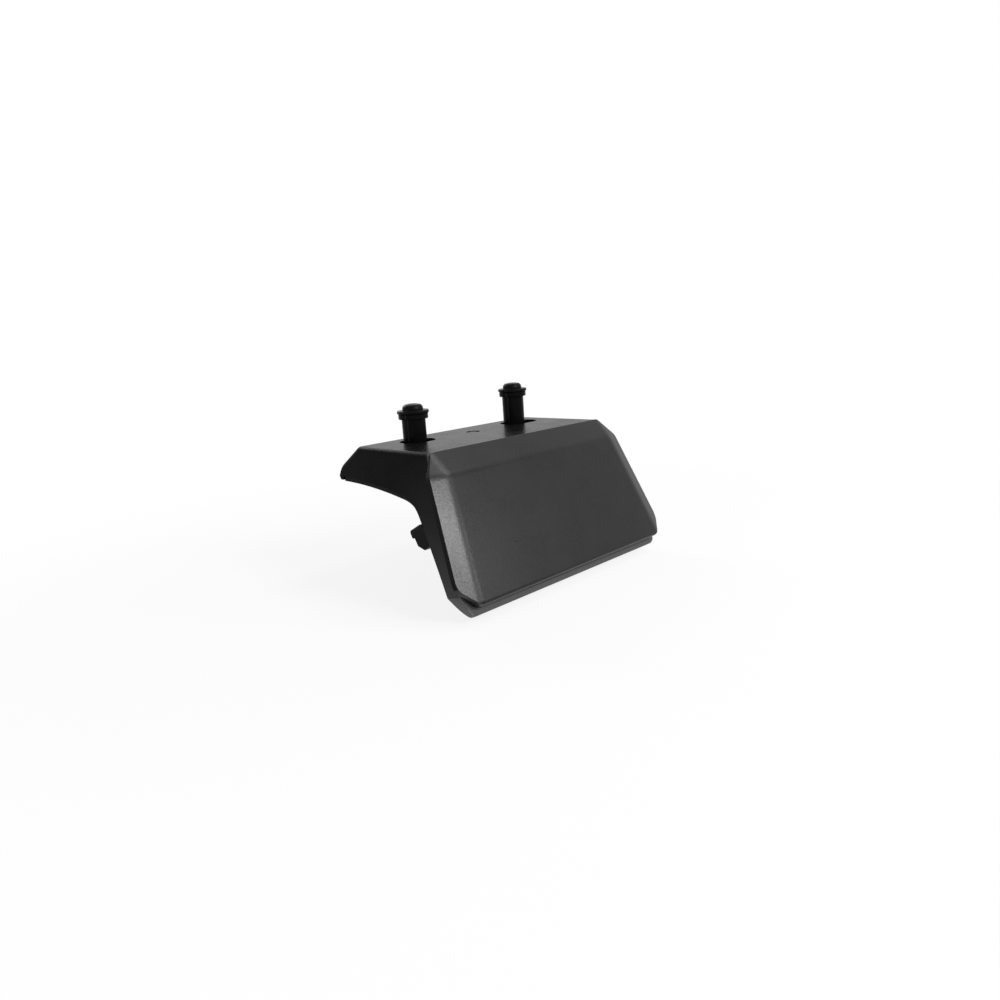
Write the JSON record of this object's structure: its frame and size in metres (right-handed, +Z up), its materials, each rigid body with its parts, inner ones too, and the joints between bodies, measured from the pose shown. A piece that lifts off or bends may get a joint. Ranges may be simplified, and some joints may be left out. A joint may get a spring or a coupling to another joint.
{
  "type": "roof rack mount casting",
  "caption": "Hollow cast roof rail foot with a flat deck, an overhanging padded arm, a bevelled front cover, height-adjustable T-head posts and a hooked clamp drawn in by screws.",
  "frame": {"origin": "on the deck's top face, midway between the two posts", "axes": "+X along the rail, +Y from the front cover towards the rail and the arm's nose, +Z up out of the deck"},
  "size_m": [0.1534, 0.1055, 0.0954],
  "materials": {
    "casting_coat": "satin dark grey powder coat on die-cast aluminium",
    "cover_plastic": "fine-textured moulded plastic",
    "black_rubber": "matte black rubber",
    "black_steel": "black coated steel",
    "sleeve_plastic": "black glass-filled nylon",
    "plated_steel": "zinc plated steel",
    "jaw_coat": "black coated aluminium bar"
  },
  "bodies": {
    "leg": {"leg_casting": "casting_coat", "front_cover": "cover_plastic", "saddle_pad": "black_rubber", "nut_strap": "plated_steel", "deck_screw": "black_steel", "left_post_nut": "plated_steel", "right_post_nut": "plated_steel", "left_clamp_washer": "plated_steel", "right_clamp_washer": "plated_steel"},
    "left_post": {"left_post_sleeve": "sleeve_plastic", "left_post_washer": "black_steel"},
    "left_bolt": {"left_post_bolt": "black_steel"},
    "right_post": {"right_post_sleeve": "sleeve_plastic", "right_post_washer": "black_steel"},
    "right_bolt": {"right_post_bolt": "black_steel"},
    "jaw": {"clamp_jaw": "jaw_coat", "jaw_pad": "black_rubber", "left_clamp_nut": "plated_steel", "right_clamp_nut": "plated_steel"},
    "left_screw": {"left_clamp_screw": "plated_steel"},
    "right_screw": {"right_clamp_screw": "plated_steel"}
  },
  "joints": [
    {"name": "left_post_lift", "type": "slide", "parent": "leg", "child": "left_post", "axis": [0, 0, 1], "range_m": [0, 0.005]},
    {"name": "left_bolt_turn", "type": "hinge", "parent": "left_post", "child": "left_bolt", "pos_m": [-0.037, 0, 0], "axis": [0, 0, 1], "range_deg": [0, 1800.01]},
    {"name": "right_post_lift", "type": "slide", "parent": "leg", "child": "right_post", "axis": [0, 0, 1], "range_m": [-0.0038, 0.0012]},
    {"name": "right_bolt_turn", "type": "hinge", "parent": "right_post", "child": "right_bolt", "pos_m": [0.037, 0, 0], "axis": [0, 0, 1], "range_deg": [-1368.01, 432.01]},
    {"name": "jaw_slide", "type": "slide", "parent": "leg", "child": "jaw", "axis": [0, -0.8746, 0.4848], "range_m": [-0.005, 0.0026]},
    {"name": "left_screw_turn", "type": "hinge", "parent": "leg", "child": "left_screw", "pos_m": [-0.028, -0.03585, -0.03883], "axis": [0, 0.8746, -0.4848], "range_deg": [-1800.01, 936.01]},
    {"name": "right_screw_turn", "type": "hinge", "parent": "leg", "child": "right_screw", "pos_m": [0.028, -0.03585, -0.03883], "axis": [0, 0.8746, -0.4848], "range_deg": [-1800.01, 936.01]}
  ],
  "couplings": [
    {"joint": "left_bolt_turn", "follows": "left_post_lift", "rad_per_m": 6283.2},
    {"joint": "right_bolt_turn", "follows": "right_post_lift", "rad_per_m": 6283.2},
    {"joint": "left_screw_turn", "follows": "jaw_slide", "rad_per_m": 6283.2},
    {"joint": "right_screw_turn", "follows": "jaw_slide", "rad_per_m": 6283.2}
  ]
}
